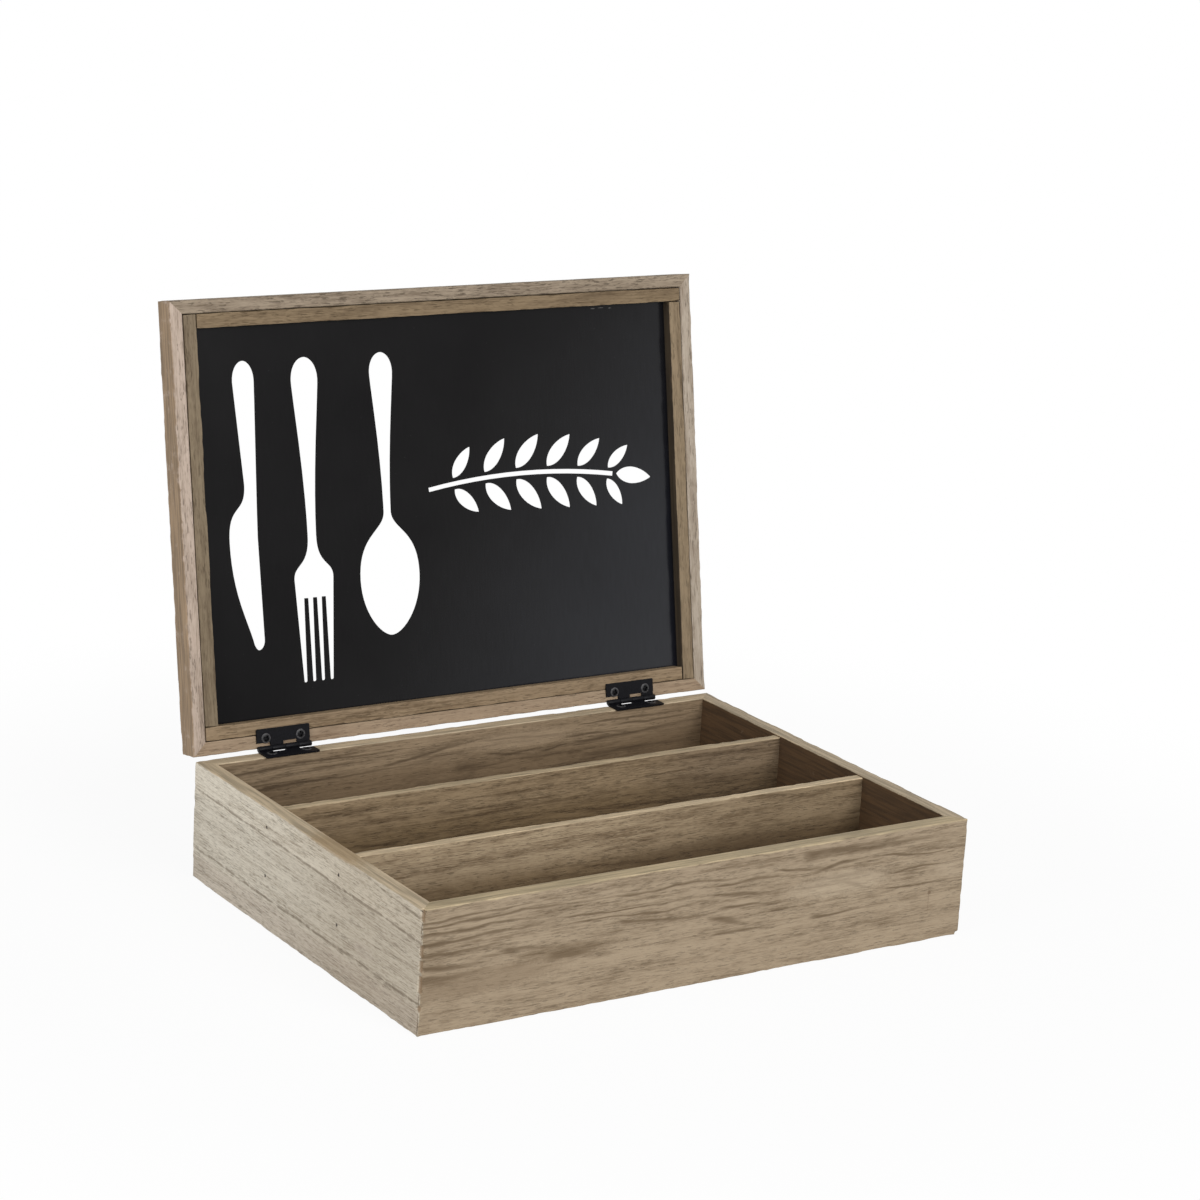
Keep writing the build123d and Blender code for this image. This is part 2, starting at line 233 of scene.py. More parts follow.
# Oak with growth rings round a pith line, pores and fibres; the first coordinate runs along the grain, in mm
def makeOakGrain():
    tree, given, leave = startGroup(
        "oakGrain",
        {
            "Grain": None, "Seed": 0.0,
            "Pale": tint(165, 148, 126), "Deep": tint(118, 100, 80), "Pore": tint(84, 68, 52),
            "Ring Pitch": 4.0, "Pith Across": 0.0, "Pith Behind": 25.0, "Taper": 0.06, "Sway": 16.0,
            "Bands": 0.9, "Fibres": 0.6, "Mottle": 0.4,
            "Pores": 0.5, "Pore Length": 9.0, "Pore Depth": 0.4, "Bands From": belowAll,
        },
        {"Color": "Color", "Roughness": "Float", "Relief": "Float"},
    )
    seedMove = joinParts(tree, *(times(tree, given["Seed"], step) for step in (431.7, 97.3, 53.9)))
    place = vectorCalc(tree, "ADD", given["Grain"], seedMove)
    half = (0.5, 0.5, 0.5)

    def noiseOf(name, *values, **give):
        return noiseAt(tree, place, oakNoises[name], *values, **give)

    def centred(name, *values):
        return minus(tree, noiseOf(name, *values), 0.5)

    # Rings: how far from the swaying pith line, unevenly spaced, with gaps where they fade
    wide = vectorCalc(tree, "SUBTRACT", noiseOf("slowSway", 0.0, give="Color"), half)
    narrow = vectorCalc(tree, "SUBTRACT", noiseOf("quickSway", 1.0, give="Color"), half)
    narrow = vectorCalc(tree, "MULTIPLY", narrow, (0.24, 0.24, 0.24))
    swayNode = addNode(tree, "ShaderNodeVectorMath", operation="SCALE")
    feed(tree, swayNode, {0: vectorCalc(tree, "ADD", wide, narrow), "Scale": given["Sway"]})
    grain = parts(tree, given["Grain"])
    sway = parts(tree, swayNode.outputs[0])
    across = plus(tree, minus(tree, grain[1], given["Pith Across"]), sway[1])
    behind = plus(tree, plus(tree, grain[2], given["Pith Behind"]), sway[2])
    behind = times(tree, grain[0], given["Taper"], behind)
    radius = times(tree, across, across, times(tree, behind, behind))
    rings = calc(tree, "DIVIDE", calc(tree, "SQRT", radius), given["Ring Pitch"])
    uneven = noiseAt(tree, joinParts(tree, rings, 0.0, given["Seed"]), (1.9, 1, 1), 1.0)
    rings = times(tree, uneven, 1.6, rings)
    band = ramp(tree, calc(tree, "FRACT", rings), ringStops)
    streaks = soften(tree, noiseOf("streaks"), 0.3, 0.68, 0.6, 1.0)
    fade = soften(tree, noiseOf("fade", 1.0), 0.34, 0.62, 0.3, 1.0)
    band = times(tree, band, streaks)
    band = times(tree, band, times(tree, fade, given["Bands"]))

    # Fibres and mottling
    fibre = centred("fibres", 3.0, 0.7)
    brushed = centred("brushing", 1.0)
    patch = centred("patches", 3.0, 0.6)
    patch = times(tree, centred("smallPatches"), 0.7, patch)
    above = times(tree, patch, 10.0, minus(tree, grain[1], given["Bands From"]))
    band = times(tree, band, soften(tree, above, -3.0, 3.0, 0.12, 1.0))
    fine = times(tree, brushed, 0.8, times(tree, fibre, 1.3))
    depth = times(tree, fine, given["Fibres"], band)
    depth = times(tree, patch, given["Mottle"], depth)

    # Pores in rows, more of them where a ring is dark
    rows = soften(tree, noiseOf("poreRows"), 0.4, 0.62)
    rows = times(tree, rows, 0.6, times(tree, band, 0.45, 0.12))
    share = times(tree, rows, given["Pores"])
    large = dashesAt(tree, place, given["Pore Length"], 1.0, share)
    small = dashesAt(tree, place, given["Pore Length"], 0.55, share)
    pore = plus(tree, large, times(tree, small, 0.6))
    pore = calc(tree, "MINIMUM", pore, 1.0)

    colour = blendColours(tree, soften(tree, depth, -0.4, 1.1), given["Pale"], given["Deep"])
    colour = blendColours(tree, times(tree, pore, given["Pore Depth"]), colour, given["Pore"])
    rough = times(tree, pore, 0.15, times(tree, fibre, 0.25, 0.66))
    relief = times(tree, fine, 0.6, times(tree, pore, -0.8))
    relief = times(tree, band, -0.3, relief)
    feed(tree, leave, {"Color": colour, "Roughness": rough, "Relief": relief})
    return tree


# A long dark crack in the grain, at a height that drifts along the board, with streaks beside it
lineLooks = {"wander": 4.4, "wanderSize": (60, 400, 400), "gapSize": (9, 400, 400), "endSoft": 12}


def makeGrainLine():
    tree, given, leave = startGroup(
        "grainLine",
        {"Grain": None, "Height": 50.0, "Drift": 0.01, "Width": 0.5, "Until": 500.0, "Seed": 0.0},
        {"Mask": "Float"},
    )
    grain = parts(tree, given["Grain"])
    seedMove = joinParts(tree, times(tree, given["Seed"], 71.0), 0.0, 0.0)
    shifted = vectorCalc(tree, "ADD", given["Grain"], seedMove)
    height = noiseAt(tree, shifted, lineLooks["wanderSize"], 6.0, 0.68)
    wander = times(tree, height, lineLooks["wander"], -lineLooks["wander"] / 2)
    middle = plus(tree, times(tree, grain[0], given["Drift"], given["Height"]), wander)
    away = calc(tree, "ABSOLUTE", minus(tree, grain[1], middle))
    broken = soften(tree, noiseAt(tree, shifted, lineLooks["gapSize"], 4.0, 0.65), 0.34, 0.56)
    thick = times(tree, given["Width"], times(tree, broken, 1.0, 0.3))
    mask = soften(tree, calc(tree, "DIVIDE", away, thick), 1.3, 0.3)
    mask = times(tree, mask, times(tree, broken, 0.65, 0.35))
    beside = times(tree, soften(tree, away, 3.2, 0.4), dashesAt(tree, shifted, 9.0, 0.8, 0.6))
    mask = calc(tree, "MAXIMUM", mask, times(tree, beside, 0.7))
    past = minus(tree, grain[0], given["Until"])
    reached = soften(tree, past, lineLooks["endSoft"], -lineLooks["endSoft"])
    feed(tree, leave, {"Mask": times(tree, mask, reached)})
    return tree


# A soft dark band that starts at a place along the board and tapers away
def makeGrainBand():
    tree, given, leave = startGroup(
        "grainBand",
        {
            "Along": 0.0, "Across": 0.0, "Ragged": 0.0,
            "Height": 40.0, "Drift": -0.05, "Half Width": 1.2, "Start": -170.0, "Until": -100.0,
        },
        {"Mask": "Float"},
    )
    along = minus(tree, given["Along"], given["Start"])
    middle = times(tree, along, given["Drift"], given["Height"])
    length = minus(tree, given["Until"], given["Start"])
    left = soften(tree, calc(tree, "DIVIDE", along, length), 1.0, 0.3)
    width = times(tree, given["Half Width"], times(tree, left, 0.7, 0.3))
    away = calc(tree, "DIVIDE", minus(tree, given["Across"], middle), width)
    away = calc(tree, "ABSOLUTE", plus(tree, away, given["Ragged"]))
    reach = times(tree, left, soften(tree, along, 0.0, 9.0))
    feed(tree, leave, {"Mask": times(tree, soften(tree, away, 1.4, 0.1), reach)})
    return tree


# A soft oval mark on a board
def makeSpot():
    tree, given, leave = startGroup(
        "woodSpot",
        {"Grain": None, "Along": 0.0, "Across": 0.0, "Half Length": 1.0, "Half Width": 1.0},
        {"Mask": "Float"},
    )
    grain = parts(tree, given["Grain"])
    wobble = times(tree, noiseAt(tree, given["Grain"], (1.5, 1.5, 1.5), 2.0), 0.6, -0.3)
    across = calc(tree, "DIVIDE", minus(tree, grain[1], given["Across"]), given["Half Width"])
    along = calc(tree, "DIVIDE", minus(tree, grain[0], given["Along"]), given["Half Length"])
    away = times(tree, across, across, times(tree, along, along))
    away = plus(tree, calc(tree, "SQRT", away), wobble)
    feed(tree, leave, {"Mask": soften(tree, away, 1.15, 0.55)})
    return tree


oakGrain = makeOakGrain()
grainLine = makeGrainLine()
grainBand = makeGrainBand()
woodSpot = makeSpot()


def useGroup(tree, group, values):
    node = addNode(tree, "ShaderNodeGroup", node_tree=group)
    feed(tree, node, values)
    return node.outputs


def emptyMaterial(name):
    material = bpy.data.materials.new(name)
    material.use_nodes = True
    tree = material.node_tree
    tree.nodes.clear()
    return material, tree, addNode(tree, "ShaderNodeOutputMaterial")


def startMaterial(name):
    material, tree, leave = emptyMaterial(name)
    shader = addNode(tree, "ShaderNodeBsdfPrincipled")
    tree.links.new(shader.outputs[0], leave.inputs["Surface"])
    return material, tree, shader


# Object coordinates in mm, turned so that X runs along the board and Y across it
def boardPlace(tree, along, across):
    turn = Matrix((along, across, along.cross(across)))
    coordinates = addNode(tree, "ShaderNodeTexCoord")
    mapping = addNode(tree, "ShaderNodeMapping")
    place = coordinates.outputs["Object"]
    feed(tree, mapping, {"Vector": place, "Rotation": turn.to_euler(), "Scale": perMetre})
    return mapping.outputs[0]


def markSpots(tree, place, colour, spots):
    for along, across, halfLength, halfWidth, strength, shade in spots:
        mask = useGroup(tree, woodSpot, {
            "Grain": place, "Along": along, "Across": across,
            "Half Length": halfLength, "Half Width": halfWidth,
        })["Mask"]
        colour = blendColours(tree, times(tree, mask, strength), colour, tint(*shade))
    return colour


def addRelief(tree, shader, height, depth):
    bump = addNode(tree, "ShaderNodeBump")
    feed(tree, bump, {"Height": height, "Distance": depth, "Strength": 1.0})
    tree.links.new(bump.outputs[0], shader.inputs["Normal"])


lean = math.radians(10.4)
right = Vector((1, 0, 0))
rearward = Vector((0, 1, 0))
upward = Vector((0, 0, 1))
upLid = Vector((0, math.sin(lean), math.cos(lean)))

# Boards: which way the grain and the width run, and the look of their oak, in mm and in 0 to 255 colours.
# An edge shows plainer wood: which coordinate, where it starts and is full, its colour, how ragged it is. The
# right wall's inner face and the right lid strip's inner side are painted shade instead.
# A stain multiplies the colour: which coordinate, where it starts and is full, its colour. Most are painted
# shade.
# A line is a long dark crack: height, drift, width, where it ends, seed.
# A drawn band is soft and dark: height where it starts, drift, half width, start, end. The bands of a board
# share one wave of the given height; drawnDepth is how strong they are.
# A spot is a soft oval mark: along, across, half length, half width, how strong, colour. The spot on
# divider_1 is painted shade.
# bandsFrom is the height above which the growth rings show.
alongFront = {"along": right, "across": upward}
alongSide = {"along": rearward, "across": upward}
acrossLid = {"along": right, "across": upLid}
upTheLid = {"along": upLid, "across": right}
railFigure = {"pitch": 3, "pithBehind": 130, "taper": 0.01, "sway": 6}
stripFigure = {**railFigure, "bands": 0.6, "pores": 1.0, "poreDepth": 0.55, "mottle": 1.2, "fibres": 1.3}
topOfWall = (1, 65.8, 66.3, (206, 187, 157), 1.0)
boardLooks = {
    "front_wall": {
        **alongFront, "seed": 3, "pale": (157, 140, 117), "deep": (104, 87, 66),
        "pitch": 4.6, "pithAcross": 20, "pithBehind": -118, "taper": 0.0, "sway": 15, "bands": 0.62,
        "pores": 1.3, "poreDepth": 0.36, "mottle": 1.5, "fibres": 1.2, "bandsFrom": 24,
        "drawnDepth": 0.92, "drawnShade": (96, 79, 58), "wave": 8.0,
        "edges": [(1, 65.4, 66.4, (194, 175, 141), 1.8), (0, -169.1, -169.5, (178, 168, 150), 2.6)],
        "drawn": [
            (59.8, 0.0, 0.8, -177, -70), (57.0, -0.005, 0.8, -177, -20), (53.2, -0.006, 0.9, -177, -70),
            (48.3, -0.004, 1.2, -177, -66), (42.9, -0.05, 1.3, -177, -100), (34.8, -0.05, 1.6, -177, -120),
            (30.0, -0.01, 2.0, -177, -120), (37.0, -0.06, 1.6, -128, -84), (31.0, -0.01, 3.0, -100, -52),
            (50.3, -0.03, 0.7, -92, 30), (46.0, -0.02, 0.8, -84, 30), (42.8, -0.1, 1.2, -58, 4),
            (57.0, -0.02, 0.8, -60, 60), (36.0, -0.3, 2.4, -2, 34), (25.2, -0.005, 0.8, 0, 66),
            (25.0, 0.01, 1.0, 64, 122), (41.5, -0.12, 1.1, 6, 54), (47.6, -0.08, 1.1, -2, 60),
            (53.2, -0.03, 0.8, 0, 76), (56.4, -0.11, 1.0, 40, 96), (51.4, 0.06, 1.0, 66, 122),
            (42.5, -0.02, 1.0, 56, 104), (43.5, -0.24, 1.2, 82, 122), (48.0, -0.05, 0.9, 56, 150),
            (52.6, -0.02, 0.8, 108, 190), (34.8, -0.03, 0.8, 112, 190), (60.4, -0.004, 2.6, 58, 190),
            (44.0, -0.02, 0.7, 112, 190),
        ],
        "spots": [
            (-136, 24, 54, 8, 0.5, (122, 104, 82)),
            (-88, 32, 30, 5, 0.4, (108, 90, 67)),
            (86, 42, 38, 8, 0.45, (178, 162, 139)),
            (165, 40, 20, 6, 0.25, (172, 156, 134)),
            (147.5, 27.5, 1.2, 1.4, 0.7, (98, 78, 58)),
            (147.3, 22, 0.5, 7, 0.4, (120, 100, 80)),
        ],
    },
    "back_wall": {
        **alongFront, "seed": 11, "pale": (159, 138, 111), "deep": (80, 63, 44),
        "pitch": 5.0, "pithAcross": 34, "pithBehind": 137.5, "taper": -0.09, "sway": 16, "bands": 0.6,
        "pores": 0.7, "poreDepth": 0.45, "mottle": 0.6, "fibres": 0.9, "edges": [topOfWall],
        # Painted shade: darker towards the bottom of the bay and towards the right wall
        "shadeAndStains": [(1, 58, 43, (210, 204, 196)), (0, 90, 150, (232, 229, 226))],
        "drawnDepth": 0.8, "drawnShade": (78, 62, 44), "wave": 5.0,
        "drawn": [
            (57.5, 0.02, 0.8, -170, -40), (52.6, 0.11, 1.0, -60, 30), (59.0, -0.05, 0.9, 4, 96),
            (46.5, 0.032, 0.9, -170, 16), (51.0, -0.12, 0.9, 6, 56), (46.5, 0.16, 0.8, 44, 78),
            (50.5, 0.03, 1.0, 66, 190), (43.5, 0.0, 3.2, -14, 24), (42.6, 0.0, 1.8, 74, 190),
            (54.5, -0.02, 0.8, 60, 130), (60.8, 0.0, 0.7, -120, -10), (50.0, 0.01, 0.7, -170, -90),
            (60.5, 0.0, 0.8, 70, 190), (57.0, 0.01, 0.7, 96, 190),
        ],
        "spots": [(34, 57, 40, 6, 0.35, (180, 158, 130))],
    },
    "left_wall": {
        **alongSide, "seed": 5, "pale": (214, 206, 190), "deep": (153, 141, 123),
        "pitch": 7, "pithAcross": 90, "pithBehind": 260, "taper": 0.02, "sway": 12, "bands": 0.25,
        "pores": 1.3, "poreDepth": 0.42, "mottle": 0.8, "fibres": 1.9,
        "edges": [topOfWall, (0, -123.7, -124.1, (112, 91, 69), 2.2)],
        # The first stain is painted shade, darker towards the front; the other two darken the wall below a
        # height
        "shadeAndStains": [(0, 70, -80, (231, 227, 222)), (1, 17, 12, (244, 241, 241)), (1, 51, 47, (243, 243, 243))],
        "lines": [(50.3, 0.014, 0.7, 500, 1.0), (17.2, 0.004, 0.7, 500, 7.0), (69.0, 0.06, 0.5, -70, 4.0)],
        "spots": [(-68, 25, 12, 5, 0.35, (178, 166, 152)), (-30.5, 66, 30, 1.5, 0.6, (150, 125, 90))],
    },
    "right_wall": {
        **alongSide, "seed": 8, "pale": (150, 132, 110), "deep": (104, 87, 68),
        "pitch": 6, "pithAcross": 90, "pithBehind": 260, "taper": 0.02, "sway": 12, "bands": 0.6,
        "pores": 0.7, "poreDepth": 0.4, "mottle": 0.5,
        # The first edge is painted shade: the wall's whole inner face is darkened, as little light reaches it
        "edges": [(2, 161.3, 161.1, (88, 66, 44), 0.7), (1, 65.8, 66.3, (193, 175, 147), 1.0)],
    },
    "divider_1": {
        **alongFront, "seed": 14, "pale": (181, 161, 132), "deep": (113, 93, 69),
        "pitch": 6, "pithAcross": 160, "pithBehind": 90, "taper": 0.02, "sway": 12, "bands": 0.7,
        "pores": 1.5, "poreDepth": 0.48, "mottle": 1.3, "fibres": 1.2,
        "edges": [(1, 64.8, 65.3, (216, 194, 160), 1.0)],
        # Painted shade: darker towards the bottom of the bay and towards the right wall, and a dark spot of
        # painted shade low on the right
        "shadeAndStains": [(1, 54, 37, (180, 171, 158)), (0, -20, 120, (214, 210, 204))],
        "spots": [(52, 38, 70, 7, 0.35, (66, 50, 33))],
    },
    "divider_2": {
        **alongFront, "seed": 17, "pale": (153, 132, 103), "deep": (88, 69, 47),
        "pitch": 6, "pithAcross": 150, "pithBehind": 50, "taper": 0.025, "sway": 12, "bands": 0.9,
        "pores": 1.3, "poreDepth": 0.48, "mottle": 1.3, "fibres": 1.2,
        "edges": [(1, 64.8, 65.3, (197, 176, 143), 1.0)],
        # Painted shade: darker towards the bottom of the bay and towards the right wall
        "shadeAndStains": [(1, 56, 40, (208, 202, 190)), (0, 50, 120, (232, 232, 238))],
    },
    "floor_panel": {
        "along": right, "across": rearward, "seed": 21, "pale": (150, 131, 107), "deep": (104, 86, 66),
        "pitch": 5, "pithAcross": 20, "pithBehind": 70, "taper": 0.05, "sway": 18, "bands": 0.8,
        "pores": 0.5, "poreDepth": 0.4, "mottle": 0.5,
    },
    "lid_rear_rail": {
        **acrossLid, "seed": 25, "pale": (164, 143, 119), "deep": (122, 101, 80),
        **railFigure, "pithAcross": -90, "bands": 0.5,
        "pores": 0.9, "poreDepth": 0.55, "mottle": 1.1, "fibres": 1.0,
    },
    "lid_right_rail": {
        **upTheLid, "seed": 28, "pale": (174, 161, 145), "deep": (122, 106, 89),
        **railFigure, "pithAcross": 60, "bands": 0.5,
        "pores": 1.4, "poreDepth": 0.6, "mottle": 1.3, "fibres": 1.2,
    },
    "lid_front_rail": {
        **acrossLid, "seed": 31, "pale": (152, 137, 118), "deep": (100, 85, 69),
        **railFigure, "pithAcross": 330, "bands": 0.6,
        "pores": 2.0, "poreDepth": 0.7, "mottle": 0.9, "fibres": 1.2,
    },
    "lid_left_rail": {
        **upTheLid, "seed": 34, "pale": (186, 168, 153), "deep": (134, 117, 101),
        **railFigure, "pithAcross": -260, "bands": 0.5,
        "pores": 1.6, "poreDepth": 0.6, "mottle": 1.2, "fibres": 1.2,
        "edges": [(1, -169.1, -169.9, (152, 129, 103), 2.6)],
    },
    "lid_rear_strip": {
        **acrossLid, "seed": 37, "pale": (150, 129, 102), "deep": (100, 81, 58),
        **stripFigure, "pithAcross": -90,
        "spots": [(6, 9.5, 5, 1.3, 0.5, (190, 172, 142))],
    },
    "lid_right_strip": {
        **upTheLid, "seed": 40, "pale": (138, 120, 95), "deep": (90, 74, 53),
        # The edge is painted shade on the strip's inner side, which faces away from the light
        **stripFigure, "pithAcross": 60, "edges": [(1, 154.9, 154.6, (66, 55, 41), 0.5)],
    },
    "lid_front_strip": {
        **acrossLid, "seed": 43, "pale": (129, 110, 84), "deep": (84, 67, 46),
        **stripFigure, "pithAcross": 330,
    },
    "lid_left_strip": {
        **upTheLid, "seed": 46, "pale": (127, 112, 90), "deep": (84, 69, 51),
        **stripFigure, "pithAcross": -260,
    },
}


# The drawn bands share one wave, so that neighbours run side by side
def drawBands(tree, place, colour, look):
    sway = noiseAt(tree, place, (36, 11, 11))
    wave = times(tree, sway, look["wave"], -look["wave"] / 2)
    spot = parts(tree, place)
    across = plus(tree, spot[1], wave)
    ragged = times(tree, noiseAt(tree, place, (12, 1.2, 1.2)), 1.2, -0.6)
    total = 0.0
    for height, drift, half, start, until in look["drawn"]:
        mask = useGroup(tree, grainBand, {
            "Along": spot[0], "Across": across, "Ragged": ragged,
            "Height": height, "Drift": drift, "Half Width": half, "Start": start, "Until": until,
        })["Mask"]
        total = calc(tree, "MAXIMUM", total, mask)
    broken = soften(tree, noiseAt(tree, place, (20, 1.2, 1.2)), 0.25, 0.6, 0.7, 1.0)
    amount = times(tree, times(tree, total, broken), look["drawnDepth"])
    return blendColours(tree, amount, colour, tint(*look["drawnShade"]))


oakLooks = {
    "poreShade": 0.68,  # of the deep colour
    "streakShade": 0.78,  # of an edge's colour
    "streakSize": (30, 1.6, 1.6),
    "wobbleSize": (7, 7, 7),
    "shadeAndStainWobble": 6.0,
    "fibres": 0.6,  # where a board gives none
    "lineColour": (102, 88, 70),
    "lineStrength": 0.66,
    "rubbedColour": (122, 100, 76),
    "rubbedMost": 0.8,
    "specular": 0.3,
    "relief": 0.00012,
}


def oakMaterial(board, look):
    material, tree, shader = startMaterial("oak_" + board)
    place = boardPlace(tree, look["along"], look["across"])
    wood = useGroup(tree, oakGrain, {
        "Grain": place, "Seed": look["seed"], "Pale": tint(*look["pale"]), "Deep": tint(*look["deep"]),
        "Pore": shaded(look["deep"], oakLooks["poreShade"]), "Ring Pitch": look["pitch"],
        "Pith Across": look["pithAcross"], "Pith Behind": look["pithBehind"], "Taper": look["taper"],
        "Sway": look["sway"], "Bands": look["bands"], "Fibres": look.get("fibres", oakLooks["fibres"]),
        "Mottle": look["mottle"], "Pores": look["pores"], "Pore Depth": look["poreDepth"],
        "Bands From": look.get("bandsFrom", belowAll),
    })
    colour, relief = wood["Color"], wood["Relief"]
    wobble = minus(tree, noiseAt(tree, place, oakLooks["wobbleSize"], 3.0, 0.65), 0.5)
    # Stains: mostly painted shade, darker where less light falls; a few only darken below a height
    for axis, start, end, shade in look.get("shadeAndStains", []):
        height = times(tree, wobble, oakLooks["shadeAndStainWobble"], parts(tree, place)[axis])
        colour = blendColours(tree, soften(tree, height, start, end), colour, tint(*shade), "MULTIPLY")
    # Edges: plainer wood, and painted shade on two inner faces
    for axis, start, end, shade, ragged in look.get("edges", []):
        streak = noiseAt(tree, place, oakLooks["streakSize"])
        darker = shaded(shade, oakLooks["streakShade"])
        plainWoodOrShade = blendColours(tree, soften(tree, streak, 0.3, 0.7), tint(*shade), darker)
        height = times(tree, wobble, ragged, parts(tree, place)[axis])
        colour = blendColours(tree, soften(tree, height, start, end), colour, plainWoodOrShade)
    if "drawn" in look:
        colour = drawBands(tree, place, colour, look)
    for height, drift, width, until, seed in look.get("lines", []):
        line = useGroup(tree, grainLine, {
            "Grain": place, "Height": height, "Drift": drift, "Width": width, "Until": until, "Seed": seed,
        })["Mask"]
        amount = times(tree, line, oakLooks["lineStrength"])
        colour = blendColours(tree, amount, colour, tint(*oakLooks["lineColour"]))
        relief = minus(tree, relief, line)
    colour = markSpots(tree, place, colour, look.get("spots", []))
    worn = addNode(tree, "ShaderNodeAttribute", attribute_name="wear").outputs["Fac"]
    wearAndHighlight = times(tree, wobble, 0.5, worn)
    wearAndHighlight = soften(tree, wearAndHighlight, 0.3, 0.75, 0.0, oakLooks["rubbedMost"])
    colour = blendColours(tree, wearAndHighlight, colour, tint(*oakLooks["rubbedColour"]))
    shine = oakLooks["specular"]
    feed(tree, shader, {"Base Color": colour, "Roughness": wood["Roughness"], "Specular IOR Level": shine})
    addRelief(tree, shader, relief, oakLooks["relief"])
    return material


boardMaterials = {board: oakMaterial(board, look) for board, look in boardLooks.items()}
print("oak made")


# Worn boards: copies of the CAD boards, cut across near their outer edges, which are rubbed back unevenly.
# The same place gives the same wear, so neighbours stay joined at their mitres. All sizes are in mm.
# Each roughness is a fine size and strength, a slow size and strength, and what is added to them.
wearLooks = {
    "band": 2.3,  # how far in from an edge the cuts reach
    "arris": 0.62,  # how far in it is rubbed
    "step": 2.6,  # between cuts
    "tallStep": 1.0,  # between cuts up the box's walls and dividers
    "tallFrom": 60,
    "shortest": 12,  # no cuts along a side shorter than this
    "depth": 0.26,
    "rough": (5.0, 1.2, 23.0, 1.8, 0.35),
    "stripDepth": 0.36,
    "stripRough": (6, 1, 30, 1.6, 0.4),
    "cornerDepth": 1.6,  # at the box's front left corner
    "cornerLeast": 0.04,
    "cornerRough": (2.1, 1.1, 6.0, 1.9, 0.3),
    "cornerReach": 1,
    "footReach": 1.5,  # at the low end of the front right corner
    "footShare": 0.6,
    "brownAt": 0.9,  # the depth at which the wood is rubbed brown
    "sameWithin": 0.002,
    "sliverBelow": 0.0005,
}
cleanLooks = {"sameWithin": 2e-6, "flatWithin": 0.5}  # in metres and degrees
boxTurn = Matrix((right, rearward, upward))
lidTurn = Matrix((right, upLid, right.cross(upLid)))
dividerTop = 65.5
lidBase = 89.75
lidFace = -112.0
lidBack = -127.0


def unevenAt(place, fineSize, fine, slowSize, slow, added):
    return noise.noise(place / fineSize) * fine + noise.noise(place / slowSize) * slow + added


def wearDepth(place, onBox, onStrip):
    if onStrip:
        return wearLooks["stripDepth"] * min(1, max(0, unevenAt(place, *wearLooks["stripRough"])))
    atFront = onBox and place.y < boxLow[1] + wearLooks["cornerReach"]
    if atFront and place.x > boxHigh[0] - wearLooks["cornerReach"] and place.z < wearLooks["footReach"]:
        return wearLooks["cornerDepth"] * wearLooks["footShare"]
    if atFront and place.x < boxLow[0] + wearLooks["cornerReach"]:
        rough = unevenAt(place, *wearLooks["cornerRough"])
        return wearLooks["cornerDepth"] * min(1.0, max(wearLooks["cornerLeast"], rough))
    return wearLooks["depth"] * min(1.0, max(0.0, unevenAt(place, *wearLooks["rough"])))


def cleanCopy(nodeName):
    bm = bmesh.new()
    bm.from_mesh(nodes[nodeName].data)
    bmesh.ops.remove_doubles(bm, verts=bm.verts, dist=cleanLooks["sameWithin"])
    flat = math.radians(cleanLooks["flatWithin"])
    bmesh.ops.dissolve_limit(bm, angle_limit=flat, verts=bm.verts, edges=bm.edges)
    return bm


def addPiece(name, mesh):
    piece = bpy.data.objects.new(name, mesh)
    scene.collection.objects.link(piece)
    return piece


def cutAcross(bm, geometry, axis, place):
    point = Vector((0, 0, 0))
    normal = Vector((0, 0, 0))
    point[axis] = place
    normal[axis] = 1
    bmesh.ops.bisect_plane(bm, geom=geometry, plane_co=point, plane_no=normal)


def wornBoard(nodeName, turn, low, high, body, strip=False):  # None is a side that isn't rubbed
    bm = cleanCopy(nodeName)
    for vert in bm.verts:
        vert.co = turn @ vert.co / mm
    lines = [(axis, limit, sign) for axis in range(3)
             for limit, sign in ((low[axis], 1), (high[axis], -1)) if limit is not None]
    for axis, limit, sign in lines:
        cutAcross(bm, bm.verts[:] + bm.edges[:] + bm.faces[:], axis, limit + sign * wearLooks["band"])

    def nearLines(place, reach):
        return [line for line in lines if (place[line[0]] - line[1]) * line[2] < reach]

    for axis in range(3):
        spread = [vert.co[axis] for vert in bm.verts]
        first, last = min(spread), max(spread)
        if last - first < wearLooks["shortest"]:
            continue
        tall = axis == 2 and body == "box" and last - first > wearLooks["tallFrom"]
        count = int((last - first) / wearLooks["tallStep" if tall else "step"])
        for index in range(1, count):
            faces = []
            for face in bm.faces:
                near = nearLines(face.calc_center_median(), wearLooks["band"])
                if len([line for line in near if line[0] != axis]) >= 2:
                    faces.append(face)
            edges = {edge for face in faces for edge in face.edges}
            verts = {vert for face in faces for vert in face.verts}
            place = round(first + (last - first) * index / count, 3)
            cutAcross(bm, list(verts) + list(edges) + faces, axis, place)
    bmesh.ops.remove_doubles(bm, verts=bm.verts, dist=wearLooks["sameWithin"])
    bmesh.ops.dissolve_degenerate(bm, dist=wearLooks["sliverBelow"], edges=bm.edges)
    flats = [face for face in bm.faces if len(face.verts) > 4]
    bmesh.ops.triangulate(bm, faces=flats, ngon_method="BEAUTY")
    wear = bm.verts.layers.float.new("wear")
    for vert in bm.verts:
        close = nearLines(vert.co, wearLooks["arris"])
        if len(close) < 2:
            continue
        depth = wearDepth(vert.co, body == "box", strip)
        vert[wear] = min(1.0, depth / wearLooks["brownAt"])
        for axis, limit, sign in close:
            vert.co[axis] += sign * depth
    back = turn.transposed()
    for vert in bm.verts:
        vert.co = back @ vert.co * mm
    mesh = bpy.data.meshes.new(nodeName + "_worn")
    bm.to_mesh(mesh)
    bm.free()
    mesh.materials.append(boardMaterials[nodeName])
    board = addPiece(nodeName + "_worn", mesh)
    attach(board, body)
    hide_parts(nodeName)


def assign(nodeName, material):
    nodes[nodeName].data.materials.clear()
    nodes[nodeName].data.materials.append(material)


